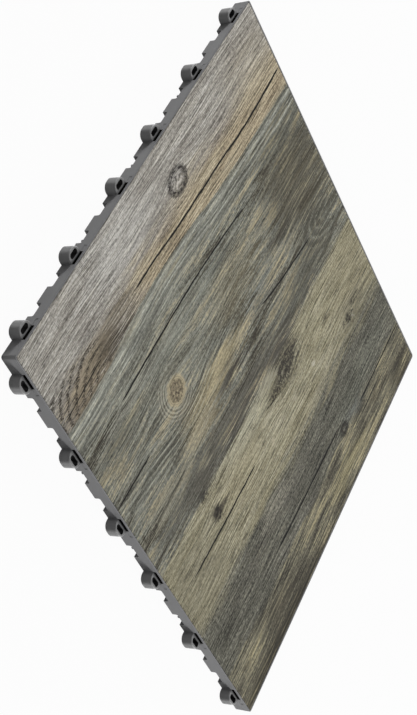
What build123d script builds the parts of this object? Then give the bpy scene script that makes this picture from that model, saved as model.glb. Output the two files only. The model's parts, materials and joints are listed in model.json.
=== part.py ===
# Interlocking garage floor tile: a moulded base with loops and pegs, and a vinyl sheet in its recess.
# Millimetres, +Z up. The origin is the centre of the tile's square, on the floor.
import os
from math import atan, degrees

from build123d import *

# Square of the tile
module = 400.0           # pitch of laid tiles, side to side
tile_height = 12.7       # floor to the top of the rim
corner_radius = 2.0      # upright corners of the skirt
skirt_draft = 0.4        # the skirt leans in by this much from rim to floor
skirt_wall = 1.6         # thickness of the skirt at the floor

# Deck and vinyl sheet
vinyl_thickness = 2.0    # sheet, flush with the rim
deck_thickness = 1.5     # plate under the sheet
rim_width = 1.0          # raised edge round the sheet
vinyl_gap = 0.5          # open line between rim and sheet
vinyl_corner = 0.8       # corner radius of the sheet
vinyl_bevel = 0.3        # eased top edge of the sheet

# Interlock loops, on the -X and -Y sides
corner_margin = 23.6     # module corner to the centre of the nearest loop
middle_gap = 60.0        # centre to centre of the two loops beside the middle of a side
loops_per_half = 3       # loops from the middle of a side to its corner
loop_width = 14.4        # along the side
loop_reach = 7.6         # beyond the module line
loop_corner = 6.0        # rounding of the loop's front
loop_root = 0.3          # how far the loop is sunk into the foot of the skirt
loop_headroom = 0.2      # loop top to the deck of the tile that lies over it
loop_bevel = 0.5         # eased top edge of the loop
eye_length = 9.2         # hole in the loop, along the side
eye_width = 4.6          # hole in the loop, across the side
eye_offset = 3.4         # module line to the middle of the hole

# Window in the skirt behind each loop, in a shallow panel
window_width = 13.4      # along the side
window_lintel = 1.2      # rim top to the upper edge of window and panel
window_sill = 2.0        # loop top down to the window's lower edge
panel_width = 26.0       # along the side
panel_depth = 0.35       # in from the module line

# Pegs and pockets for the next tile's loops, on the +X and +Y sides
peg_clearance = 0.25     # all round, peg to hole
peg_length = 6.0         # below the deck
peg_draft = 4.0          # degrees, narrows the peg towards its tip as a lead-in
peg_corner = 0.7         # share of the peg's half width that each corner loses, to suit the round hole
pocket_clearance = 0.4   # all round, loop to pocket

# Drainage arches in the skirt, two in each gap between loops and one at the middle of a side
arch_width = 13.0
arch_height = 4.6
arch_corner = 1.2        # rounding of the arch's upper corners
arch_offset = 14.6       # from the middle of the gap to the middle of each arch of a pair
cheek_wall = 1.0         # short walls that run in from both ends of an arch
cheek_length = 6.0

# Rib lattice under the deck, with a cross-shaped foot at each crossing
rib_pitch = 41.0
rib_wall = 1.6
channel_height = 4.8     # free height under the ribs
foot_span = 14.0         # arm to arm of a foot
wall_feet = (-2, 0, 2)   # ribs that also stand on the floor at the skirt, counted from the middle
overcut = 1.0            # how far cutting shapes run past the faces they open

half = module / 2
deck_top = tile_height - vinyl_thickness
deck_under = deck_top - deck_thickness
loop_top = deck_under - loop_headroom
skirt_foot = half - skirt_draft
inner_half = skirt_foot - skirt_wall
recess_half = half - rim_width
vinyl_half = recess_half - vinyl_gap

loop_pitch = (half - corner_margin - middle_gap / 2) / (loops_per_half - 1)
loop_places = [middle_gap / 2 + i * loop_pitch for i in range(loops_per_half)]
gap_middles = [(a + b) / 2 for a, b in zip(loop_places, loop_places[1:])]
arch_places = [middle + side * arch_offset for middle in gap_middles for side in (-1, 1)]
loop_row = [side * place for place in loop_places for side in (-1, 1)]
arch_row = [0.0] + [side * place for place in arch_places for side in (-1, 1)]

# Turns about Z that carry the -Y side to each of the four sides
loop_sides = (0, 270)
peg_sides = (90, 180)
all_sides = loop_sides + peg_sides


def on_sides(shapes, sides):
    return [Rot(0, 0, turn) * shape for turn in sides for shape in shapes]


def tongue(width, reach, corner):
    # Plan of a loop: square at the skirt, rounded at the front
    root = half - skirt_foot + loop_root
    plan = Pos(0, -half + (root - reach) / 2) * Rectangle(width, root + reach)
    front = plan.vertices().group_by(Axis.Y)[0]
    return fillet(front, corner)


def shell():
    # Skirt and deck as one block, hollow above for the sheet
    foot = RectangleRounded(2 * skirt_foot, 2 * skirt_foot, corner_radius)
    block = extrude(foot, tile_height, taper=-degrees(atan(skirt_draft / tile_height)))
    recess = RectangleRounded(2 * recess_half, 2 * recess_half, corner_radius - rim_width)
    return block - Pos(0, 0, deck_top) * extrude(recess, vinyl_thickness + overcut)


def cheeks():
    # Plans of the short walls beside the arches of all four sides
    offset = (arch_width + cheek_wall) / 2
    plan = Rectangle(cheek_wall, cheek_length + overcut)
    inset = -inner_half + (cheek_length - overcut) / 2
    row = [Pos(place + side * offset, inset) * plan for place in arch_row for side in (-1, 1)]
    return on_sides(row, all_sides)


def underside():
    # Space below the deck: cells between the ribs above, one open floor channel round the feet below
    count = 2 * int((inner_half - foot_span / 2) / rib_pitch) + 1
    floor = Rectangle(2 * inner_half, 2 * inner_half) - cheeks()
    rib_length = 2 * (inner_half + overcut)
    ribs = [spot * Rectangle(rib_wall, rib_length) for spot in GridLocations(rib_pitch, 1, count, 1)]
    ribs += [spot * Rectangle(rib_length, rib_wall) for spot in GridLocations(1, rib_pitch, 1, count)]
    foot = Rectangle(foot_span, rib_wall) + Rectangle(rib_wall, foot_span)
    feet = [spot * foot for spot in GridLocations(rib_pitch, rib_pitch, count, count)]
    arm = Pos(0, -inner_half) * Rectangle(rib_wall, foot_span)
    feet += on_sides([Pos(line * rib_pitch) * arm for line in wall_feet], all_sides)
    channel = Pos(0, 0, -overcut) * extrude(floor - feet, channel_height + overcut)
    cells = Pos(0, 0, channel_height) * extrude(floor - ribs, deck_under - channel_height)
    return [channel, cells]


def arches():
    # Cutting shapes of the drainage arches of one side
    rise = arch_height + overcut
    plan = Pos(0, rise / 2 - overcut) * Rectangle(arch_width, rise)
    plan = fillet(plan.vertices().group_by(Axis.Y)[-1], arch_corner)
    depth = skirt_wall + skirt_draft + 2 * overcut
    cut = extrude(Plane.XZ.offset(inner_half - overcut) * plan, depth)
    return [Pos(place) * cut for place in arch_row]


def windows():
    # Cutting shapes of the windows of one side, each with its panel
    # The window's upper face slopes from the rim to the deck's underside
    lintel = tile_height - window_lintel
    sill = loop_top - window_sill
    slope = lintel - deck_under
    outer = half + overcut
    inner = inner_half - overcut
    profile = Polyline(
        (-outer, sill), (-outer, lintel), (-half, lintel), (-half + slope, deck_under),
        (-inner, deck_under), (-inner, sill), close=True,
    )
    cut = extrude(Plane.YZ * make_face(profile), window_width / 2, both=True)
    panel = Pos(0, -half + panel_depth, (loop_top + lintel) / 2) * Box(
        panel_width, overcut + panel_depth, lintel - loop_top, align=(Align.CENTER, Align.MAX, Align.CENTER)
    )
    return [Pos(place) * shape for place in loop_row for shape in (cut, panel)]


def loops():
    # Loops of one side, each with its hole
    ring = extrude(tongue(loop_width, loop_reach, loop_corner), loop_top)
    root = ring.faces().sort_by(Axis.Y)[-1]
    brim = [edge for edge in ring.edges().group_by(Axis.Z)[-1] if edge not in root.edges()]
    eye = Pos(0, -half - eye_offset) * SlotOverall(eye_length, eye_width)
    ring = chamfer(brim, loop_bevel) - extrude(eye, loop_top)
    return [Pos(place) * ring for place in loop_row]


def pockets():
    # Spaces under the deck of one side that take the next tile's loops, open to the side and the floor
    width = loop_width + 2 * pocket_clearance
    depth = overcut + loop_reach + pocket_clearance
    height = overcut + deck_under
    cut = Pos(0, -half - overcut, deck_under) * Box(
        width, depth, height, align=(Align.CENTER, Align.MIN, Align.MAX)
    )
    return [Pos(place) * cut for place in loop_row]


def pegs():
    # Pegs of one side, hanging from the deck where the next tile's loops have their holes
    width = eye_width - 2 * peg_clearance
    plan = Rectangle(eye_length - 2 * peg_clearance, width)
    plan = chamfer(plan.vertices(), peg_corner * width / 2)
    peg = extrude(Pos(0, eye_offset - half, deck_under) * plan, -peg_length, taper=peg_draft)
    return [Pos(place) * peg for place in loop_row]


hollows = underside() + on_sides(arches(), all_sides)
hollows += on_sides(windows(), loop_sides) + on_sides(pockets(), peg_sides)
base = shell() - hollows + (on_sides(loops(), loop_sides) + on_sides(pegs(), peg_sides))

sheet = extrude(RectangleRounded(2 * vinyl_half, 2 * vinyl_half, vinyl_corner), vinyl_thickness)
sheet = Pos(0, 0, deck_top) * chamfer(sheet.edges().group_by(Axis.Z)[-1], vinyl_bevel)

os.makedirs("parts", exist_ok=True)
export_step(base, "parts/base_tile.step")
export_step(sheet, "parts/vinyl_insert.step")
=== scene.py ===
import json
import math

import bpy
import numpy as np
from mathutils import Matrix, Vector


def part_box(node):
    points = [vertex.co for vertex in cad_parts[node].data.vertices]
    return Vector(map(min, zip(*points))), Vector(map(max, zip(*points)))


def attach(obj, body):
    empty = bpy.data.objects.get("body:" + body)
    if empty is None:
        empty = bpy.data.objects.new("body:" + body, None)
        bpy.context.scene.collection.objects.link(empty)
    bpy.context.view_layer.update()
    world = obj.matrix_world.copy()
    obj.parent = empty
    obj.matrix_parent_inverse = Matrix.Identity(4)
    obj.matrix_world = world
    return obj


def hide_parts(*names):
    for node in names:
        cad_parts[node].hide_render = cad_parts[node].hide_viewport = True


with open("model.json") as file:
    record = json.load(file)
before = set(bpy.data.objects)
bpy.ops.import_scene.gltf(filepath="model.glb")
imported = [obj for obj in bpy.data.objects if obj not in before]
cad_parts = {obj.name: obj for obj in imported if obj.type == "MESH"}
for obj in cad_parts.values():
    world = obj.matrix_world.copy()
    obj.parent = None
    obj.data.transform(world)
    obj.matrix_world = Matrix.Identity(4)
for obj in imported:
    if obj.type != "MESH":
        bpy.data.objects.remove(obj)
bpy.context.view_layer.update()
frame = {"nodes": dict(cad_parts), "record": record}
mm = 0.001
hair = 1e-6  # slack in metres for comparing places
print("frame loaded:", sorted(frame["nodes"]))


def paint(red, green, blue):
    # screen colour, 0 to 255, as the linear colour that a shader takes
    def linear(level):
        share = level / 255
        return share / 12.92 if share <= 0.04045 else ((share + 0.055) / 1.055) ** 2.4

    return (linear(red), linear(green), linear(blue), 1)


def fillRamp(ramp, stops):
    while len(ramp.elements) > 1:
        ramp.elements.remove(ramp.elements[-1])
    ramp.elements[0].position, ramp.elements[0].color = stops[0]
    for place, colour in stops[1:]:
        ramp.elements.new(place).color = colour


def fillRoute(mapping, points):
    line = mapping.curves[0]
    line.points[0].location = points[0]
    line.points[-1].location = points[-1]
    for along, across in points[1:-1]:
        line.points.new(along, across)
    mapping.update()


class Wire:
    # a socket of a material; sums on wires add Math nodes to its tree

    def __init__(self, tree, socket=None):
        self.tree = tree
        self.socket = socket

    def node(self, kind, settings=None, inputs=None, out=0):
        made = self.tree.nodes.new(kind)
        for name, value in (settings or {}).items():
            if name == "stops":
                fillRamp(made.color_ramp, value)
            elif name == "route":
                fillRoute(made.mapping, value)
            else:
                setattr(made, name, value)
        for key, value in (inputs or {}).items():
            if isinstance(value, Wire):
                self.tree.links.new(value.socket, made.inputs[key])
            else:
                made.inputs[key].default_value = value
        return Wire(self.tree, made.outputs[out] if made.outputs else None)

    def math(self, operation, *values):
        return self.node("ShaderNodeMath", {"operation": operation}, dict(enumerate(values)))

    def __add__(self, other):
        return self.math("ADD", self, other)

    def __radd__(self, other):
        return self.math("ADD", other, self)

    def __sub__(self, other):
        return self.math("SUBTRACT", self, other)

    def __rsub__(self, other):
        return self.math("SUBTRACT", other, self)

    def __mul__(self, other):
        return self.math("MULTIPLY", self, other)

    def __rmul__(self, other):
        return self.math("MULTIPLY", other, self)

    def __truediv__(self, other):
        return self.math("DIVIDE", self, other)

    def __rtruediv__(self, other):
        return self.math("DIVIDE", other, self)

    def __pow__(self, other):
        return self.math("POWER", self, other)

    def __neg__(self):
        return self.math("MULTIPLY", self, -1)

    def __abs__(self):
        return self.math("ABSOLUTE", self)

    def most(self, other):
        return self.math("MAXIMUM", self, other)

    def wave(self, spacing):
        # from -1 to 1 and back on each spacing
        return self.math("SINE", self * (2 * math.pi / spacing))

    def rise(self, first, second, top=1.0):
        # 0 at the first level, top at the second, eased between them
        ends = {"Value": self, "From Min": first, "From Max": second, "To Max": top}
        return self.node("ShaderNodeMapRange", {"interpolation_type": "SMOOTHSTEP"}, ends)

    def between(self, first, second):
        # the first colour where this is 0, the second where it is 1
        return self.node("ShaderNodeMix", {"data_type": "RGBA"}, {0: self, 6: first, 7: second}, out=2)

    def over(self, colour, amount):
        # another colour laid over this one
        return amount.between(self, colour)

    def shaded(self, shade):
        # this colour made lighter or darker
        kind = {"data_type": "RGBA", "blend_type": "MULTIPLY", "clamp_result": False}
        return self.node("ShaderNodeMix", kind, {0: 1.0, 6: self, 7: shade}, out=2)


def newFinish(name):
    made = bpy.data.materials.new(name)
    made.use_nodes = True
    made.node_tree.nodes.clear()
    return made, Wire(made.node_tree)


def closeFinish(wire, inputs):
    shader = wire.node("ShaderNodeBsdfPrincipled", None, inputs)
    wire.node("ShaderNodeOutputMaterial", None, {"Surface": shader})


def placeOn(wire):
    # x, y and z on the tile, in mm
    place = wire.node("ShaderNodeTexCoord", None, None, out="Object")
    split = wire.node("ShaderNodeSeparateXYZ", None, {0: place}).socket.node
    return [Wire(wire.tree, socket) * 1000 for socket in split.outputs]


# printed oak boards: colours on screen, places in mm on the tile, grain along y
boards = {
    "half": 200,  # half the tile's side
    # tones of each board from dark to light
    "silver": [(110, 105, 98), (132, 128, 121), (145, 142, 135), (161, 158, 152)],
    "tan": [(104, 91, 73), (137, 124, 100), (150, 138, 113), (164, 154, 131)],
    "slate": [(46, 42, 35), (80, 77, 66), (103, 104, 96), (114, 115, 107), (142, 134, 111)],
    "beige": [(94, 88, 70), (126, 121, 100), (135, 131, 111), (148, 144, 126)],
    "ash": [(50, 48, 42), (72, 71, 63), (82, 81, 73), (97, 96, 87)],
    "khaki": [(46, 43, 36), (81, 78, 67), (102, 99, 85), (130, 123, 99)],
    "toneRange": (0.2, 0.8),
    "crackBlack": (16, 15, 13),
    "poreBrown": (52, 47, 40),
    "fibreLight": (146, 138, 113),
    "brightness": 1.03,
    # noises: width and length of a cell in mm, detail, roughness, seed
    "noises": {
        "drift": (60, 150, 1.0, 0.55, 1.7),
        "jointWobble": (60, 9, 2.0, 0.55, 8.2),
        "fine": (1.0, 38, 2.0, 0.6, 5.3),
        "middle": (2.6, 60, 2.0, 0.6, 2.4),
        "broad": (10, 90, 3.0, 0.6, 9.6),
        "fleck": (1.2, 3.2, 2.0, 0.6, 4.4),
        "speck": (2.4, 3.0, 2.0, 0.6, 11.3),
        "fibre": (1.9, 36, 1.5, 0.5, 6.1),
        "pore": (1.2, 24, 1.0, 0.55, 7.9),
        "scratchWobble": (40, 4, 2.0, 0.55, 3.7),
        "crackWobble": (40, 9, 2.0, 0.55, 3.1),
    },
    # weights of the noises: the tone of even and of patchy boards, and how far their edges lean
    "toneMix": {"fine": 0.30, "middle": 0.7, "broad": 0.7, "fleck": 0.5},
    "patchyMix": {"fine": 0.22, "middle": 0.6, "broad": 1.5, "fleck": 0.6},
    "leanMix": {"broad": 60, "middle": 40},
    # how far the noises shift the grain,
    # and the edges of stains, smears, marks and scratches across and along
    "grainBend": {"drift": 9},
    "stainStray": ({"fine": 4}, {"fleck": 20, "fine": 34}),
    "smearStray": ({"speck": 12}, {"fibre": 60, "fleck": 12}),
    "markStray": ({"speck": 5}, {"speck": 6, "fine": 4}),
    "scratchStray": ({"drift": 4, "scratchWobble": 1.4}, {"fine": 6}),
    "jointWobble": 1.4,
    "crackWobble": 0.8,
    # levels of the noises between which lines and pores show
    "fineRange": (0.28, 0.72),
    "fibreUp": (0.54, 0.66),
    "fibreDown": (0.46, 0.34),
    "poreRange": (0.58, 0.74),
    # a level on the first board, and what each later board adds to it
    "shares": {
        "warmth": {"first": 0.10, "second": 0.25, "third": -0.17, "fade": -0.1, "last": 0.22},
        "pits": {"first": 1, "fade": 1.2, "last": -1.2},
        "streaks": {"first": 0.62, "second": 0.38, "dusk": -0.3, "third": 0.16, "fade": 0.14},
        "fineStreaks": {"first": 0.68, "second": -0.14, "fade": 0.12, "last": 0.08},
        "pores": {"first": 0.35, "second": 0.15, "third": 0.35, "fade": -0.55, "last": 0.4},
    },
    # edges of the boards: points of the first joint, and place, softness and lean of the later edges
    "firstJoint": [
        (-118, 200), (-122, 63), (-128, 0), (-130, -60), (-127, -110), (-124, -150), (-124, -200),
    ],
    "firstSoft": (-0.6, 0.6),
    "dusk": (-4, 8),  # towards the second board's dark right side
    "thirdEdge": (30, (-1.5, 1.8), 0.06),
    "thirdBend": ((20, 110), 2),  # from and to along, shift
    "fadeEdge": (101, (-9, 9), 0.6),
    "lastEdge": (157, (-3, 3), 0.2),
    # tan side of the first board: from and to across, from and to along, strength
    "tanSide": ((-166, -140), (-110, -50), 0.85),
    # where the grain parts: x, y, half width
    # and the reach of each parting in half widths across and along, and its pull
    "partings": [(-162, 23, 12), (-53, -89, 20), (44, 28, 16), (53, -116, 9), (88, 137, 7), (151, 64, 8)],
    "partingReach": (2, 3.4),
    "partingPull": 0.6,
    # stains: centre, half width and half length, colour, strength
    "stains": [
        # the first stain, a pale patch low on the silver board, is partly print and partly painted sheen
        ((-180, -60), (30, 75), (172, 170, 165), 0.50),
        ((-165, 165), (32, 60), (144, 136, 119), 0.45),
        ((-55, 160), (66, 84), (68, 64, 53), 0.78),
        ((-100, 185), (24, 80), (84, 85, 78), 0.60),
        ((-86, -40), (10, 130), (124, 128, 121), 0.40),
        ((-92, -125), (9, 90), (132, 132, 122), 0.55),
        ((-75, -70), (64, 110), (128, 128, 117), 0.35),
        ((-74, -165), (16, 60), (96, 95, 86), 0.45),
        ((-60, 30), (30, 60), (126, 119, 98), 0.35),
        ((-24, -42), (15, 72), (150, 140, 112), 0.80),
        ((-10, -85), (13, 45), (142, 133, 109), 0.60),
        ((-9, -22), (8, 30), (56, 52, 46), 0.80),
        ((-27, 45), (5, 50), (116, 120, 116), 0.50),
        ((-35, -160), (40, 60), (112, 113, 105), 0.40),
        ((-10, 165), (26, 60), (74, 73, 65), 0.60),
        ((-38, 105), (7, 40), (58, 55, 48), 0.60),
        ((14, -60), (15, 180), (76, 74, 67), 0.80),
        ((25, 0), (6, 170), (62, 58, 52), 0.75),
        ((14, 115), (22, 90), (72, 71, 63), 0.70),
        ((38, -45), (12, 60), (148, 147, 131), 0.60),
        ((58, -70), (30, 60), (146, 139, 116), 0.40),
        ((70, -165), (52, 72), (110, 106, 90), 0.55),
        ((60, 170), (46, 62), (122, 116, 95), 0.45),
        ((-138, -150), (18, 62), (124, 112, 91), 0.78),
        ((95, 160), (18, 52), (92, 89, 76), 0.60),
        ((122, -60), (16, 120), (80, 78, 71), 0.50),
        ((138, 120), (20, 90), (88, 89, 80), 0.50),
        ((150, 85), (9, 16), (110, 112, 107), 0.45),
        ((181, 50), (12, 62), (132, 125, 97), 0.65),
        ((172, 128), (7, 30), (56, 51, 41), 0.75),
        ((188, 176), (18, 30), (58, 54, 43), 0.78),
        ((195, -110), (14, 130), (48, 45, 38), 0.85),
        ((174, -106), (9, 38), (62, 58, 49), 0.72),
        ((195, -78), (8, 13), (50, 47, 40), 0.75),
        ((199, -110), (10, 140), (36, 34, 28), 0.85),
        ((166, -165), (8, 50), (118, 114, 97), 0.55),
        ((-77, -150), (8, 52), (90, 90, 81), 0.60),
        ((-109, 150), (10, 60), (104, 104, 96), 0.55),
        ((-2, -150), (9, 56), (122, 119, 105), 0.75),
        ((-20, 60), (10, 44), (98, 96, 87), 0.45),
        ((-3, 150), (8, 56), (76, 76, 69), 0.55),
        ((26, 55), (5, 66), (66, 63, 57), 0.65),
        ((100, 45), (9, 60), (138, 133, 113), 0.60),
        ((115, -48), (9, 62), (116, 113, 102), 0.55),
        ((152, -50), (7, 56), (112, 110, 101), 0.50),
        ((80, 158), (10, 26), (104, 100, 86), 0.55),
        ((-139, -110), (17, 50), (104, 96, 83), 0.62),
        ((-129, -150), (9, 66), (108, 98, 82), 0.80),
    ],
    # feathered smears round the knots, given as the stains are
    "smears": [
        ((41, 36), (25, 38), (72, 69, 62), 0.95),
        ((41, 33), (19, 27), (42, 39, 34), 0.95),
        ((48, 7), (9, 20), (42, 38, 33), 0.95),
        ((34, 4), (8, 21), (141, 138, 122), 0.80),
        ((28, -114), (6, 26), (54, 50, 44), 0.70),
        ((40, -119), (15, 3.5), (80, 75, 64), 0.60),
        ((84, 151), (9, 11), (50, 47, 41), 0.90),
        ((153, 80), (6, 13), (112, 115, 110), 0.55),
        ((-9, -30), (8, 22), (52, 47, 42), 0.75),
        ((-34, -92), (12, 8), (108, 99, 82), 0.55),
    ],
    # dark hearts of the knots and small pale marks, given as the stains are
    "knotMarks": [
        ((41.5, 23), (3.4, 4.6), (34, 31, 27), 0.85),
        ((47.5, 31), (2.6, 6), (36, 33, 29), 0.80),
        ((40, 34), (2.6, 3.4), (38, 35, 31), 0.75),
        ((44.5, 27), (1.8, 2.6), (140, 136, 122), 0.55),
        ((53, -117), (8.6, 10), (40, 36, 32), 1.0),
        ((54, -106), (3.6, 11), (60, 55, 48), 0.85),
        ((52, -117), (5, 7), (32, 29, 25), 0.90),
        ((29, -121), (5, 6.5), (38, 35, 31), 0.85),
        ((89, 137), (6.4, 6.4), (38, 35, 31), 1.0),
        ((87.5, 128), (2.4, 4), (46, 42, 37), 0.90),
        ((93, 144), (5, 1.8), (134, 133, 122), 0.75),
        ((94, 133), (1.6, 5), (130, 128, 114), 0.65),
        ((159, 60), (1.6, 15), (148, 142, 121), 0.80),
        ((75, 67), (2.8, 3.6), (172, 168, 155), 0.80),
        ((74, 24), (3.4, 4.5), (160, 155, 138), 0.50),
        ((75, -24), (6, 3), (164, 157, 137), 0.65),
        ((73, 0), (3, 5), (158, 152, 134), 0.45),
        ((-166, -180), (7, 5), (174, 170, 162), 0.40),
    ],
    # short dark scratches: x, y, half width, half length, darkness
    "scratches": [
        (-139, 165, 0.7, 24, 0.7), (-142, 84, 0.7, 16, 0.65), (-152, 172, 0.6, 24, 0.5),
        (-129, 52, 0.6, 26, 0.55), (-148, 110, 0.6, 16, 0.5), (-131, 150, 0.5, 22, 0.4),
        (-38, 108, 0.9, 34, 0.7), (-99, 172, 0.7, 26, 0.6), (-58, -165, 0.6, 26, 0.5),
        (-112, 40, 0.6, 20, 0.45), (-70, 60, 0.6, 24, 0.45), (-30, 178, 0.6, 20, 0.55),
        (72, 176, 0.9, 20, 0.8), (73, 124, 0.8, 16, 0.7), (60, 186, 0.9, 13, 0.8),
        (64, 106, 0.7, 15, 0.65), (76, 44, 0.7, 18, 0.6), (90, 30, 0.8, 20, 0.7),
        (89, -58, 0.8, 18, 0.7), (55, -40, 0.6, 16, 0.5), (97, -120, 0.6, 20, 0.55),
        (84, -150, 0.6, 18, 0.55), (104, 120, 0.6, 18, 0.5), (48, 160, 0.6, 18, 0.5),
        (171, 82, 0.8, 22, 0.75), (168, -124, 0.8, 18, 0.75), (186, 18, 0.6, 20, 0.5),
        (177, -30, 0.6, 18, 0.55), (180, -165, 0.7, 20, 0.6), (190, 96, 0.6, 18, 0.5),
        (162, 30, 0.7, 22, 0.6), (124, -150, 0.5, 20, 0.45),
    ],
    # cracks: points down the board, width, darkness
    "cracks": [
        ([(-135.5, 200), (-133.5, 128), (-135.5, 78), (-137.5, 3), (-140.5, -47), (-141, -78)], 1.5, 1.0),
        ([(-145.5, 197), (-145, 166)], 0.6, 0.7),
        ([(-134.5, -132), (-133, -165), (-131, -199)], 0.9, 0.95),
        ([(-126.5, 116), (-127.5, 82)], 0.5, 0.5),
        ([(-134, 10), (-135, -54)], 0.5, 0.5),
        ([(-88, 80), (-93, 28), (-95.5, -22), (-96, -84), (-95.5, -145)], 1.45, 1.0),
        ([(-4, 139), (-8, 98), (-12, 65), (-17, 38)], 1.3, 1.0),
        ([(-44, -143), (-45, -199)], 1.2, 1.0),
        ([(-73.5, -138), (-74.5, -199)], 0.5, 0.6),
        ([(-77, -58), (-77, -110)], 0.6, 0.6),
        ([(-58.5, 199), (-58, 143)], 0.5, 0.6),
        ([(67, -52), (66, -110), (64, -176)], 1.35, 1.0),
        ([(156, 200), (156, 96)], 1.4, 1.0),
        ([(144.5, 58), (144, 3), (142, -84)], 1.6, 1.0),
        ([(166, 150), (166, 90)], 0.9, 0.85),
        ([(153, -30), (152, -105)], 0.6, 0.6),
        ([(157, -152), (158, -199)], 1.0, 0.85),
        ([(80, 199), (81, 173)], 1.0, 0.9),
        ([(79.5, 45), (79.5, -12)], 0.5, 0.6),
        ([(79, -72), (78, -118)], 0.5, 0.55),
        ([(169, -88), (168, -132)], 0.6, 0.6),
    ],
    "crackTaper": (14, 10),  # how far a crack thins out at its lower and upper end
    # flame of growth rings, with a dark feather above it: centre, reach, darkness
    "flame": {
        "centre": (-125, -140),
        "squeeze": 0.62,
        "spacing": 10.0,
        "colour": (40, 35, 29),
        "leftEdge": (-160, -150),
        "topEdge": (-118, -136),
        "wobble": {"drift": 6, "speck": 0.6, "fine": 0.4},
        "feather": [((-133, -112), (13, 36), 0.90), ((-128, -118), (4.0, 24), 0.95)],
        "featherStray": ({"fleck": 5}, {"fine": 14}),
    },
    # pointed arches of growth rings at the top of the second board
    "arches": {
        "foot": (-4, 166),
        "size": (5.4, 11),
        "count": 4.4,
        "wobble": {"drift": 4, "speck": 0.8},
        "light": (136, 136, 124),
        "lightShare": 0.5,
        "dark": (52, 51, 45),
        "darkShare": 0.45,
    },
    # light ridges beside the first joint
    "ridges": {
        "spacing": 4.8,
        "near": (0.2, 1.5),
        "far": (27, 14),
        "sway": (0.55, 1.4),
        "wobble": {"drift": 6, "middle": 1.2},
        "ground": (136, 137, 128),
        "groundShare": 0.65,
        "groundFade": (170, 10),
        "light": (156, 157, 147),
        "lightShare": 0.8,
        "furrow": 0.35,
    },
    # light lines that bow round the round knot
    "bow": {
        "route": [(-42, -10), (-34, -50), (-26, -92), (-30, -140), (-40, -198)],
        "spacing": 4.6,
        "reach": (13, 5.2),
        "topEdge": (-15, -50),
        "wobble": {"drift": 5, "middle": 2},
        "light": (148, 147, 133),
        "lightShare": 0.6,
        "furrow": 0.25,
    },
    # oval knots with a dark outline: centre, size, breadth of the outline, line, specks inside
    "ringKnots": [
        ((-162, 23), (8.6, 13), 0.34, (34, 30, 29), (174, 170, 164)),
        ((152.5, 63), (4.2, 5.4), 0.75, (22, 20, 17), (110, 103, 89)),
    ],
    # round knot with a pale disc and rings
    "eyeKnot": {
        "centre": (-53, -89),
        "size": (11, 12.5),
        "spacing": 2.9,
        "disc": (166, 155, 127),
        "core": (98, 89, 75),
        "ring": (92, 86, 74),
        "arc": (158, 154, 138),
        "fleck": (50, 43, 35),
    },
    # finish of the wear layer
    "specular": 0.08,
    "roughness": 0.48,
    "bump": (0.4, 0.2 * mm),
}


def streaks(x, y, name):
    # noise drawn out along y
    across, along, detail, rough, seed = boards["noises"][name]
    spot = x.node("ShaderNodeCombineXYZ", None, {0: x / across + seed, 1: y / along + seed * 0.37})
    inputs = {"Vector": spot, "Scale": 1.0, "Detail": detail, "Roughness": rough}
    return x.node("ShaderNodeTexNoise", {"noise_dimensions": "2D"}, inputs)


def weigh(noise, weights, start):
    # adds each noise to the start, by its weight and about its middle level
    total = start
    for name, weight in weights.items():
        total = total + (noise[name] - 0.5) * weight
    return total


def shareOf(on, name):
    # a level that changes from board to board
    shares = boards["shares"][name]
    total = shares["first"]
    for board, share in shares.items():
        if board != "first":
            total = total + on[board] * share
    return total


def spotAt(x, y):
    return x.node("ShaderNodeCombineXYZ", None, {0: x, 1: y})


def strayed(x, y, noise, stray):
    return spotAt(weigh(noise, stray[0], x), weigh(noise, stray[1], y))


def reachFrom(x, y, centre, size):
    # 1 on the oval, 0 at its centre
    across = (x - centre[0]) / size[0]
    along = (y - centre[1]) / size[1]
    return (across * across + along * along) ** 0.5


def patch(spot, centre, size, inner=0.3):
    # soft oval, 1 inside and 0 outside
    turn = [1 / size[0], 1 / size[1], 0]
    shift = [-centre[0] / size[0], -centre[1] / size[1], 0]
    put = spot.node("ShaderNodeVectorMath", {"operation": "MULTIPLY_ADD"}, {0: spot, 1: turn, 2: shift})
    reach = spot.node("ShaderNodeVectorMath", {"operation": "LENGTH"}, {0: put}, out="Value")
    return reach.rise(1.0, inner)


def routeAlong(y, points):
    # x in mm of a line that runs down the boards through the points
    half, margin = boards["half"], 5
    points = sorted((along, across) for across, along in points)
    lowest = min(across for along, across in points) - margin
    span = max(across for along, across in points) + margin - lowest
    curve = [((along + half) / (2 * half), (across - lowest) / span) for along, across in points]
    line = y.node("ShaderNodeFloatCurve", {"route": curve}, {"Value": (y + half) / (2 * half)})
    return line * span + lowest


def boardTone(tone, name):
    colours = boards[name]
    low, high = boards["toneRange"]
    step = (high - low) / (len(colours) - 1)
    stops = [(low + step * number, paint(*colour)) for number, colour in enumerate(colours)]
    return tone.node("ShaderNodeValToRGB", {"stops": stops}, {"Fac": tone})


def crackMask(x, y):
    # darkest of all the cracks, each thinning to nothing at its ends
    loose = x + (streaks(x, y, "crackWobble") - 0.5) * boards["crackWobble"]
    lowTaper, highTaper = boards["crackTaper"]
    found = None
    for points, width, dark in boards["cracks"]:
        low = min(point[1] for point in points)
        high = max(point[1] for point in points)
        taper = y.rise(low, low + lowTaper) * y.rise(high, high - highTaper)
        gap = abs(loose - routeAlong(y, points)) / (taper * width * 0.62 + 0.02)
        line = gap.rise(1.2, 0.7, top=dark)
        found = line if found is None else found.most(line)
    return found


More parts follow.
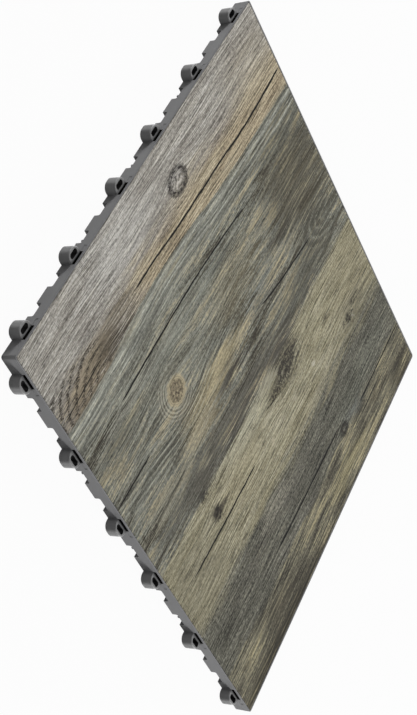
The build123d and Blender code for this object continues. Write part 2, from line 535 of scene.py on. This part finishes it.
def addFlame(ground, x, y, joint, noise):
    flame = boards["flame"]
    size = (flame["spacing"] * flame["squeeze"], flame["spacing"])
    rings = weigh(noise, flame["wobble"], reachFrom(x, y, flame["centre"], size))
    lines = rings.wave(1).rise(0.30, 0.95)
    onBoard = (x - joint).rise(0.4, -0.4)
    here = x.rise(*flame["leftEdge"]) * y.rise(*flame["topEdge"]) * onBoard
    here = here * (0.5 + noise["speck"].rise(0.25, 0.6) * 0.5)
    ground = ground.over(paint(*flame["colour"]), lines * here)
    loose = strayed(x, y, noise, flame["featherStray"])
    for centre, reach, dark in flame["feather"]:
        barbs = patch(loose, centre, reach, inner=0.1) * (0.3 + noise["fine"].rise(0.75, 0.2) * 0.7)
        ground = ground.over(paint(*flame["colour"]), barbs * onBoard * dark)
    return ground


def addArches(ground, x, y, noise):
    # rings round a half line: arches below its foot, straight lines beside it
    arches = boards["arches"]
    foot, size = arches["foot"], arches["size"]
    across = (x - foot[0]) / size[0]
    below = (foot[1] - y).most(0) / size[1]
    level = weigh(noise, arches["wobble"], (across * across + below * below) ** 0.5)
    lines = level.wave(1)
    here = level.rise(arches["count"], arches["count"] - 0.4)
    ground = ground.over(paint(*arches["dark"]), lines.rise(-0.2, -0.95) * here * arches["darkShare"])
    broken = noise["speck"].rise(0.35, 0.6)
    crests = lines.rise(0.6, 0.98) * here * broken
    return ground.over(paint(*arches["light"]), crests * arches["lightShare"])


def addRidges(ground, x, y, joint, noise):
    ridges = boards["ridges"]
    inside = x - joint
    here = inside.rise(*ridges["near"]) * inside.rise(*ridges["far"])
    fade = y.rise(*ridges["groundFade"])
    ground = ground.over(paint(*ridges["ground"]), here * fade * ridges["groundShare"])
    rate, width = ridges["sway"]
    swaying = inside + inside.wave(2 * math.pi / rate) * width
    lines = weigh(noise, ridges["wobble"], swaying).wave(ridges["spacing"])
    ground = ground.shaded(1 - lines.rise(0.1, -0.9) * here * ridges["furrow"])
    broken = noise["middle"].rise(0.25, 0.6)
    crests = lines.rise(0.62, 0.98) * here * broken
    return ground.over(paint(*ridges["light"]), crests * ridges["lightShare"])


def addBow(ground, x, y, noise):
    bow = boards["bow"]
    inside = weigh(noise, bow["wobble"], x - routeAlong(y, bow["route"]))
    lines = inside.wave(bow["spacing"])
    here = abs(inside).rise(*bow["reach"]) * y.rise(*bow["topEdge"])
    ground = ground.shaded(1 - lines.rise(0.0, -0.9) * here * bow["furrow"])
    broken = noise["middle"].rise(0.3, 0.55)
    crests = lines.rise(0.5, 0.95) * here * broken
    return ground.over(paint(*bow["light"]), crests * bow["lightShare"])


def addRingKnots(ground, x, y, noise):
    mottle = noise["speck"].rise(0.40, 0.62)
    for centre, size, breadth, line, light in boards["ringKnots"]:
        reach = weigh(noise, {"speck": 0.55}, reachFrom(x, y, centre, size))
        outline = abs(reach - 1).rise(breadth, breadth * 0.3)
        ground = ground.over(paint(*light), reach.rise(1.0, 0.75) * mottle * 0.55)
        ground = ground.over(paint(*line), reach.rise(0.95, 0.7) * (1 - mottle) * 0.5)
        ground = ground.over(paint(*line), outline * (0.55 + mottle * 0.45))
    return ground


def addEyeKnot(ground, x, y, noise):
    knot = boards["eyeKnot"]
    speck = noise["speck"]
    even = weigh(noise, {"drift": 0.6}, reachFrom(x, y, knot["centre"], knot["size"]))
    reach = weigh(noise, {"speck": 0.36}, even)
    rings = weigh(noise, {"speck": 0.07}, even).wave(knot["spacing"] / knot["size"][0])
    # rings outside the disc, clearest on its lower side
    lower = (x - y * 1.2).rise(36, 66)
    halo = even.rise(2.3, 1.5) * even.rise(0.95, 1.15) * (lower * 0.8 + 0.15)
    ground = ground.over(paint(*knot["ring"]), rings.rise(-0.2, -0.9) * halo * 0.6)
    ground = ground.over(paint(*knot["arc"]), rings.rise(0.2, 0.9) * halo * 0.8)
    # pale disc with a flecked heart
    ground = ground.over(paint(*knot["disc"]), reach.rise(1.12, 0.88) * 0.85)
    ground = ground.over(paint(*knot["ring"]), rings.rise(0.3, 1.0) * reach.rise(1.1, 0.9) * 0.45)
    ground = ground.over(paint(*knot["core"]), reach.rise(0.76, 0.56) * 0.75)
    ground = ground.over(paint(*knot["fleck"]), reach.rise(0.70, 0.50) * speck.rise(0.50, 0.64) * 0.85)
    ground = ground.over(paint(*knot["disc"]), reach.rise(0.70, 0.50) * speck.rise(0.46, 0.34) * 0.6)
    edge = abs(reach - 0.72).rise(0.12, 0.03)
    return ground.over(paint(*knot["fleck"]), edge * speck.rise(0.42, 0.56) * 0.7)


def boardPrint():
    made, wire = newFinish("printedOakVinyl")
    x, y = placeOn(wire)[:2]

    # the grain bends gently, and parts round the knots
    noise = {"drift": streaks(x, y, "drift")}
    grain = weigh(noise, boards["grainBend"], x)
    across, along = boards["partingReach"]
    for knotX, knotY, half in boards["partings"]:
        near = patch(spotAt(x, y), (knotX, knotY), (half * across, half * along), inner=0.0)
        grain = grain - (x - knotX) * near * boards["partingPull"]
    wobble = (streaks(x, y, "jointWobble") - 0.5) * boards["jointWobble"]
    joint = routeAlong(y, boards["firstJoint"]) + wobble
    noise["fine"] = streaks(grain, y, "fine").rise(*boards["fineRange"])
    noise["middle"] = streaks(grain, y, "middle")
    noise["broad"] = streaks(grain, y, "broad")
    noise["fleck"] = streaks(x, y, "fleck")
    noise["speck"] = streaks(x, y, "speck")
    noise["fibre"] = streaks(grain, y, "fibre")
    fibreUp = noise["fibre"].rise(*boards["fibreUp"])
    fibreDown = noise["fibre"].rise(*boards["fibreDown"])

    # board colours, left to right
    tone = weigh(noise, boards["toneMix"], 0.5)
    patchy = weigh(noise, boards["patchyMix"], 0.5)
    lean = weigh(noise, boards["leanMix"], 0.0)
    tanAcross, tanAlong, tanShare = boards["tanSide"]
    tan = (x + lean * 0.4).rise(*tanAcross) * (y + lean).rise(*tanAlong)
    ground = boardTone(tone, "silver").over(boardTone(tone, "tan"), tan * tanShare)
    on = {"second": (x - joint).rise(*boards["firstSoft"])}
    ground = ground.over(boardTone(patchy, "slate"), on["second"])
    place, soft, leaning = boards["thirdEdge"]
    bendAlong, bendShift = boards["thirdBend"]
    on["third"] = (x - place + lean * leaning + y.rise(*bendAlong) * bendShift).rise(*soft)
    ground = ground.over(boardTone(tone, "beige"), on["third"])
    place, soft, leaning = boards["fadeEdge"]
    on["fade"] = (x - place + lean * leaning).rise(*soft)
    ground = ground.over(boardTone(tone, "ash"), on["fade"])
    place, soft, leaning = boards["lastEdge"]
    on["last"] = (x - place + lean * leaning).rise(*soft)
    ground = ground.over(boardTone(patchy, "khaki"), on["last"])

    # weather stains with ragged edges
    ragged = strayed(x + lean * 0.4, y, noise, boards["stainStray"])
    for centre, size, colour, strength in boards["stains"]:
        ground = ground.over(paint(*colour), patch(ragged, centre, size) * strength)

    # ridges, light fibres, streaks and pits
    ground = addRidges(ground, x, y, joint, noise)
    warm = fibreUp * shareOf(on, "warmth") * noise["broad"].rise(0.35, 0.6)
    ground = ground.over(paint(*boards["fibreLight"]), warm)
    ground = addBow(ground, x, y, noise)
    pitted = weigh(noise, {"fleck": 1.1, "speck": 0.5}, 0.0) * shareOf(on, "pits")
    on["dusk"] = x.rise(*boards["dusk"])
    lively = shareOf(on, "streaks")
    streaky = (noise["fine"] - 0.5) * shareOf(on, "fineStreaks")
    streaky = streaky + ((noise["middle"] - 0.5) * 0.4 + fibreUp * 0.10 - fibreDown * 0.26) * lively
    ground = ground.shaded(boards["brightness"] + streaky + pitted)
    ground = addArches(ground, x, y, noise)
    ground = addFlame(ground, x, y, joint, noise)

    # knots
    mottled = 0.45 + noise["speck"].rise(0.62, 0.38) * 0.6
    feathered = strayed(x, y, noise, boards["smearStray"])
    for centre, size, colour, strength in boards["smears"]:
        smear = patch(feathered, centre, size, inner=0.3) * mottled
        ground = ground.over(paint(*colour), smear * strength)
    grained = 0.72 + noise["speck"].rise(0.60, 0.42) * 0.28
    tight = strayed(x, y, noise, boards["markStray"])
    for centre, size, colour, strength in boards["knotMarks"]:
        mark = patch(tight, centre, size, inner=0.5) * grained
        ground = ground.over(paint(*colour), mark * strength)
    ground = addRingKnots(ground, x, y, noise)
    ground = addEyeKnot(ground, x, y, noise)

    # pores, strongest on the beige board, then scratches and cracks
    pores = streaks(grain, y, "pore").rise(*boards["poreRange"])
    shown = pores * shareOf(on, "pores") * noise["broad"].rise(0.3, 0.6)
    ground = ground.over(paint(*boards["poreBrown"]), shown)
    noise["scratchWobble"] = streaks(x, y, "scratchWobble")
    shaky = strayed(x, y, noise, boards["scratchStray"])
    for across, along, half, reach, dark in boards["scratches"]:
        scratch = patch(shaky, (across, along), (half, reach), inner=0.2)
        ground = ground.over(paint(*boards["poreBrown"]), scratch * dark)
    ground = ground.over(paint(*boards["crackBlack"]), crackMask(x, y))

    strength, distance = boards["bump"]
    height = noise["fine"] * 0.3 + noise["middle"] * 0.5 + noise["fleck"] * 0.3
    inputs = {"Strength": strength, "Distance": distance, "Height": height}
    bump = wire.node("ShaderNodeBump", None, inputs)
    rough = boards["roughness"] + noise["fleck"] * 0.12 + noise["fine"] * 0.05
    closeFinish(wire, {
        "Base Color": ground, "Roughness": rough, "Normal": bump, "Specular IOR Level": boards["specular"],
    })
    return made


def clearSelection():
    if bpy.context.object and bpy.context.object.mode != "OBJECT":
        bpy.ops.object.mode_set(mode="OBJECT")
    bpy.ops.object.select_all(action="DESELECT")


def selectOnly(piece):
    clearSelection()
    piece.select_set(True)
    bpy.context.view_layer.objects.active = piece


# vinyl sheet: sizes in metres
sheet = {
    "cellsAcross": 440,
    "cellsAlong": 160,
    "cornerCut": 0.5 * mm,
    "edgeRound": 0.35 * mm,
    "edgeSegments": 3,
    "flatBorder": 1.6 * mm,
    # relief: name, width and length of a cell, depth
    "reliefs": [
        ("grainRelief", 2.3 * mm, 34 * mm, 0.12 * mm),
        ("boardRelief", 8 * mm, 90 * mm, 0.08 * mm),
    ],
    # cracks from this width in mm are grooves as well, level at their ends and at the sheet's edge
    "grooveFrom": 1.1,
    "grooveEnds": 3 * mm,
    "grooveBorder": 2 * mm,
    "grooveDepth": 0.30 * mm,
    "smoothAngle": 35,
}


def pointsOf(piece):
    places = np.empty(len(piece.data.vertices) * 3)
    piece.data.vertices.foreach_get("co", places)
    return places.reshape(-1, 3)


def pick(piece, wanted, parts):
    # selects vertices or edges of a mesh, and goes into edit mode
    selectOnly(piece)
    byEdge = parts == "edges"
    for name in ("vertices", "edges", "polygons"):
        bunch = getattr(piece.data, name)
        bunch.foreach_set("select", wanted if name == parts else np.zeros(len(bunch), bool))
    bpy.context.tool_settings.mesh_select_mode = (not byEdge, byEdge, False)
    bpy.ops.object.mode_set(mode="EDIT")


def roundTopEdge(piece, high):
    places = pointsOf(piece)
    reach = np.abs(places[:, :2])
    outline = (reach[:, 0] > high.x - hair) | (reach[:, 1] > high.y - hair)
    outline |= reach.sum(axis=1) > high.x + high.y - sheet["cornerCut"] - hair
    outline &= places[:, 2] > high.z - hair
    ends = np.empty(len(piece.data.edges) * 2, int)
    piece.data.edges.foreach_get("vertices", ends)
    ends = ends.reshape(-1, 2)
    pick(piece, outline[ends].all(axis=1), "edges")
    bpy.ops.mesh.bevel(offset=sheet["edgeRound"], segments=sheet["edgeSegments"], affect="EDGES")
    bpy.ops.object.mode_set(mode="OBJECT")


def pressRelief(piece, high):
    # the grain is embossed downwards, and the border stays flat
    places = pointsOf(piece)
    reach = np.abs(places[:, :2]).max(axis=1)
    field = (places[:, 2] > high.z - hair) & (reach < high.x - sheet["flatBorder"])
    group = piece.vertex_groups.new(name="grainField")
    group.add(np.flatnonzero(field).tolist(), 1.0, "REPLACE")
    for name, across, along, depth in sheet["reliefs"]:
        # an empty is the ruler that sets the size of a cell
        clearSelection()
        bpy.ops.object.empty_add(location=(0, 0, 0))
        ruler = bpy.context.object
        ruler.scale = (across, along, across)
        bpy.context.view_layer.update()
        pattern = bpy.data.textures.new(name, type="CLOUDS")
        pattern.noise_scale = 1.0
        selectOnly(piece)
        press = piece.modifiers.new(name, "DISPLACE")
        press.texture = pattern
        press.texture_coords = "OBJECT"
        press.texture_coords_object = ruler
        press.vertex_group = "grainField"
        press.direction = "Z"
        press.mid_level = 1.0
        press.strength = depth
        bpy.ops.object.modifier_apply(modifier=name)
        bpy.data.objects.remove(ruler)
        bpy.data.textures.remove(pattern)
    piece.vertex_groups.clear()


def sinkCracks(piece, low, high):
    # the wide cracks of the print are grooves as well
    places = pointsOf(piece)
    x, y, z = places.T
    top = z > (low.z + high.z) / 2
    inField = np.abs(y) < high.y - sheet["grooveBorder"]
    groove = np.zeros(len(places), bool)
    for points, width, _ in boards["cracks"]:
        if width < sheet["grooveFrom"]:
            continue
        along, across = zip(*sorted((along * mm, across * mm) for across, along in points))
        inside = (y > along[0] + sheet["grooveEnds"]) & (y < along[-1] - sheet["grooveEnds"])
        groove |= inside & inField & (np.abs(x - np.interp(y, along, across)) < width * mm / 2)
    pick(piece, groove & top, "vertices")
    bpy.ops.transform.translate(value=(0, 0, -sheet["grooveDepth"]))
    bpy.ops.object.mode_set(mode="OBJECT")
    print("groove points:", int((groove & top).sum()))


def makeSheet():
    low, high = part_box("vinyl_insert")
    clearSelection()
    bpy.ops.mesh.primitive_grid_add(
        x_subdivisions=sheet["cellsAcross"], y_subdivisions=sheet["cellsAlong"], size=1, location=(0, 0, 0)
    )
    piece = bpy.context.object
    piece.name = "vinylSheet"
    bpy.ops.object.mode_set(mode="EDIT")
    bpy.ops.mesh.select_all(action="SELECT")
    bpy.ops.transform.resize(value=(high.x - low.x, high.y - low.y, 1))
    bpy.ops.transform.translate(value=(0, 0, high.z))
    for sideX in (-1, 1):
        for sideY in (-1, 1):
            corner = (sideX * (high.x - sheet["cornerCut"]), sideY * high.y, high.z)
            bpy.ops.mesh.select_all(action="SELECT")
            bpy.ops.mesh.bisect(plane_co=corner, plane_no=(sideX, sideY, 0), clear_outer=True)
    # sides and underside
    bpy.ops.mesh.select_all(action="SELECT")
    bpy.ops.mesh.region_to_loop()
    drop = (0, 0, low.z - high.z)
    bpy.ops.mesh.extrude_region_move(TRANSFORM_OT_translate={"value": drop})
    bpy.ops.mesh.edge_face_add()
    bpy.ops.mesh.select_all(action="SELECT")
    bpy.ops.mesh.normals_make_consistent(inside=False)
    bpy.ops.object.mode_set(mode="OBJECT")
    roundTopEdge(piece, high)
    pressRelief(piece, high)
    sinkCracks(piece, low, high)
    selectOnly(piece)
    bpy.ops.object.shade_smooth_by_angle(angle=math.radians(sheet["smoothAngle"]))
    print("sheet faces:", len(piece.data.polygons))
    return piece


sheetPiece = makeSheet()
sheetPiece.data.materials.append(boardPrint())
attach(sheetPiece, "root")
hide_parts("vinyl_insert")
print("sheet done")


# grey moulded base: colours on screen, and pairs of places in mm between which a tint sets in
base = {
    "grey": (106, 106, 107),
    "scuff": (122, 122, 122),
    "loopPaintedLight": (126, 126, 126),
    "loopFrom": (200.2, 202.5),
    "rimPaintedShade": (92, 92, 93),
    "rimHeight": (12.05, 12.35),
    # painted shade on the rim everywhere, and what the rim on the -X side adds
    "rimShadeShare": 0.1,
    "sideRimShadeShare": 0.7,
    "sideRimFrom": (196, 198),
    "cornerPaintedLight": (140, 140, 140),
    "cornerFrom": (397.8, 398.8),
    "cornerLightShare": 0.7,
    "paintedShadeBlack": (10, 10, 10),
    # painted shade in the loop holes: past the hole's wall, below the loop's top
    "holeWall": (0.25, 0.1),
    "holeDepth": (0.15, 0.7),
    # painted shade in the windows behind the loops
    "windowFront": (200.2, 199.9),
    "windowBack": (195, 196),
    "windowSide": (6.95, 6.75),
    "windowFoot": (6.8, 7.0),
    "windowHead": (11.7, 11.5),
    # moulding texture: scale and detail of each noise
    "grit": (1400.0, 2.0),
    "cloud": (45.0, 3.0),
    "bump": (0.25, 0.1 * mm),
    "roughness": 0.46,
    "specular": 0.2,
}


def loopShade(x, y, z, out):
    # painted shade: the insides of the loops' holes, the windows behind them and a strip of the loop tops
    # at the wall are painted near black
    rows = [mount for mount in frame["record"]["mounts"] if "spacing_x_mm" in mount["dims"]]
    places = sorted(row["dims"]["spacing_x_mm"] / 2 for row in rows)
    first, pitch = places[0], places[1] - places[0]
    radius = rows[0]["dims"]["hole_r_mm"]
    straight = rows[0]["dims"]["slot_length_mm"] / 2 - radius
    middle, top = -rows[0]["pos_m"][1] / mm, rows[0]["pos_m"][2] / mm

    along = abs(x + y + out) - first + pitch / 2
    fromLoop = abs(along.math("MODULO", along, pitch) - pitch / 2)
    past = (fromLoop - straight).most(0)
    across = out - middle
    fromWall = (past * past + across * across) ** 0.5 - radius
    hole = fromWall.rise(*base["holeWall"]) * (top - z).rise(*base["holeDepth"])
    inWall = out.rise(*base["windowFront"]) * out.rise(*base["windowBack"])
    inHeight = z.rise(*base["windowFoot"]) * z.rise(*base["windowHead"])
    return hole.most(inWall * inHeight * fromLoop.rise(*base["windowSide"]))


def mouldedGrey():
    made, wire = newFinish("mouldedGreyPlastic")
    place = wire.node("ShaderNodeTexCoord", None, None, out="Object")
    noise = {}
    for name in ("grit", "cloud"):
        scale, detail = base[name]
        inputs = {"Vector": place, "Scale": scale, "Detail": detail}
        noise[name] = wire.node("ShaderNodeTexNoise", {"noise_dimensions": "3D"}, inputs)
    scuffed = weigh(noise, {"cloud": 1.2, "grit": 0.5}, 0.35)
    colour = scuffed.between(paint(*base["grey"]), paint(*base["scuff"]))

    # painted light on the loops and on the near corner, and painted shade on the rim, in the holes and in
    # the windows
    x, y, z = placeOn(wire)
    out = (-x).most(-y)
    # painted light: the loops are painted lighter than the walls, mottled by the cloud noise
    loopLight = out.rise(*base["loopFrom"]) * (0.55 + noise["cloud"] * 0.5)
    colour = colour.over(paint(*base["loopPaintedLight"]), loopLight)
    # painted shade: the rim is painted darker, most on the -X side
    sideRimShade = (-x).rise(*base["sideRimFrom"]) * base["sideRimShadeShare"]
    rim = z.rise(*base["rimHeight"]) * (sideRimShade + base["rimShadeShare"])
    colour = colour.over(paint(*base["rimPaintedShade"]), rim)
    # painted light: the near corner's edge is painted lighter
    corner = (-x - y).rise(*base["cornerFrom"]) * base["cornerLightShare"]
    colour = colour.over(paint(*base["cornerPaintedLight"]), corner)
    # painted shade: holes and windows painted near black
    colour = colour.over(paint(*base["paintedShadeBlack"]), loopShade(x, y, z, out))

    strength, distance = base["bump"]
    inputs = {"Strength": strength, "Distance": distance, "Height": noise["grit"]}
    bump = wire.node("ShaderNodeBump", None, inputs)
    rough = base["roughness"] + noise["cloud"] * 0.14
    closeFinish(wire, {
        "Base Color": colour, "Roughness": rough, "Normal": bump, "Specular IOR Level": base["specular"],
    })
    return made


baseNode = frame["nodes"]["base_tile"]
baseNode.data.materials.clear()
baseNode.data.materials.append(mouldedGrey())
print("base done")


# floor, lamps and camera
studio = {
    "floorSize": 30,
    "floorGlow": 0.96,
    # painted shade: the floor is painted dark under the tile and its glow is cut there; where it turns
    # pale on the near and far sides, in mm
    "paleNear": (193, 196),
    "paleFar": (200, 203),
    "paper": (172, 172, 172),
    "paperPaintedShade": (40, 40, 40),
    "ambient": 0.02,
    # name, place, width, height, watts
    "lamps": [
        ("leftBox", (-1.35, 2.65, 0.75), 0.9, 0.7, 126),
        ("rightBox", (2.65, -1.35, 0.75), 0.9, 0.7, 144),
        ("topBox", (0.5, 0.5, 1.5), 1.2, 1.2, 13.0),
        ("frontBox", (-1.75, -1.75, 1.2), 0.8, 0.8, 9.0),
    ],
    "eye": (-0.77726, -0.77398, 0.71695),
    "azimuth": 44.834,
    "elevation": 34.135,
    "lens": 82.73,
    "sensor": 36,
}


def seenRays(wire):
    # 1 where the camera, a gloss or a clear part sees the surface
    path = wire.node("ShaderNodeLightPath", None, None, out="Is Camera Ray").socket.node
    seen = Wire(wire.tree, path.outputs["Is Camera Ray"])
    for kind in ("Is Glossy Ray", "Is Transmission Ray"):
        seen = seen.most(Wire(wire.tree, path.outputs[kind]))
    return seen


def makeFloor():
    clearSelection()
    bpy.ops.mesh.primitive_plane_add(size=studio["floorSize"], location=(0, 0, 0))
    floor = bpy.context.object
    floor.name = "studioFloor"
    made, wire = newFinish("whitePaper")
    seen = seenRays(wire)
    x, y = placeOn(wire)[:2]
    # painted shade under the tile: a dark paper tint and no glow there
    clear = (-x).most(-y).rise(*studio["paleNear"]).most(x.most(y).rise(*studio["paleFar"]))
    tint = clear.between(paint(*studio["paperPaintedShade"]), paint(*studio["paper"]))
    paper = wire.node("ShaderNodeBsdfDiffuse", None, {"Color": tint})
    glow = wire.node("ShaderNodeEmission", None, {"Color": (1, 1, 1, 1), "Strength": 1.0})
    amount = seen * clear * studio["floorGlow"]
    both = wire.node("ShaderNodeMixShader", None, {0: amount, 1: paper, 2: glow})
    wire.node("ShaderNodeOutputMaterial", None, {"Surface": both})
    floor.data.materials.append(made)


def makeLamps():
    for name, place, wide, high, watts in studio["lamps"]:
        clearSelection()
        bpy.ops.object.light_add(type="AREA", location=place)
        lamp = bpy.context.object
        lamp.name = name
        lamp.data.shape = "RECTANGLE"
        lamp.data.size, lamp.data.size_y = wide, high
        lamp.data.energy = watts
        # aimed at the tile
        lamp.rotation_euler = (-Vector(place)).to_track_quat("-Z", "Y").to_euler()


def makeAir():
    world = bpy.data.worlds.new("studioAir")
    bpy.context.scene.world = world
    world.use_nodes = True
    world.node_tree.nodes.clear()
    wire = Wire(world.node_tree)
    level = seenRays(wire) * (1 - studio["ambient"]) + studio["ambient"]
    air = wire.node("ShaderNodeBackground", None, {"Color": (1, 1, 1, 1), "Strength": level})
    wire.node("ShaderNodeOutputWorld", None, {"Surface": air})


def makeCamera():
    turn = math.radians(studio["azimuth"])
    dip = math.radians(studio["elevation"])
    ahead = Vector((math.cos(dip) * math.cos(turn), math.cos(dip) * math.sin(turn), -math.sin(dip)))
    side = Vector((math.sin(turn), -math.cos(turn), 0))
    upward = side.cross(ahead)
    clearSelection()
    bpy.ops.object.camera_add(location=studio["eye"])
    camera = bpy.context.object
    camera.name = "photoCamera"
    # the photo lies on its side: its right edge is the top of the view
    axes = Matrix((upward, -side, -ahead)).transposed()
    camera.rotation_euler = axes.to_euler()
    camera.data.lens = studio["lens"]
    camera.data.sensor_width = studio["sensor"]
    camera.data.clip_start = 0.01
    bpy.context.scene.camera = camera


makeFloor()
makeLamps()
makeAir()
makeCamera()
bpy.context.scene.view_settings.view_transform = "Standard"
print("studio done")
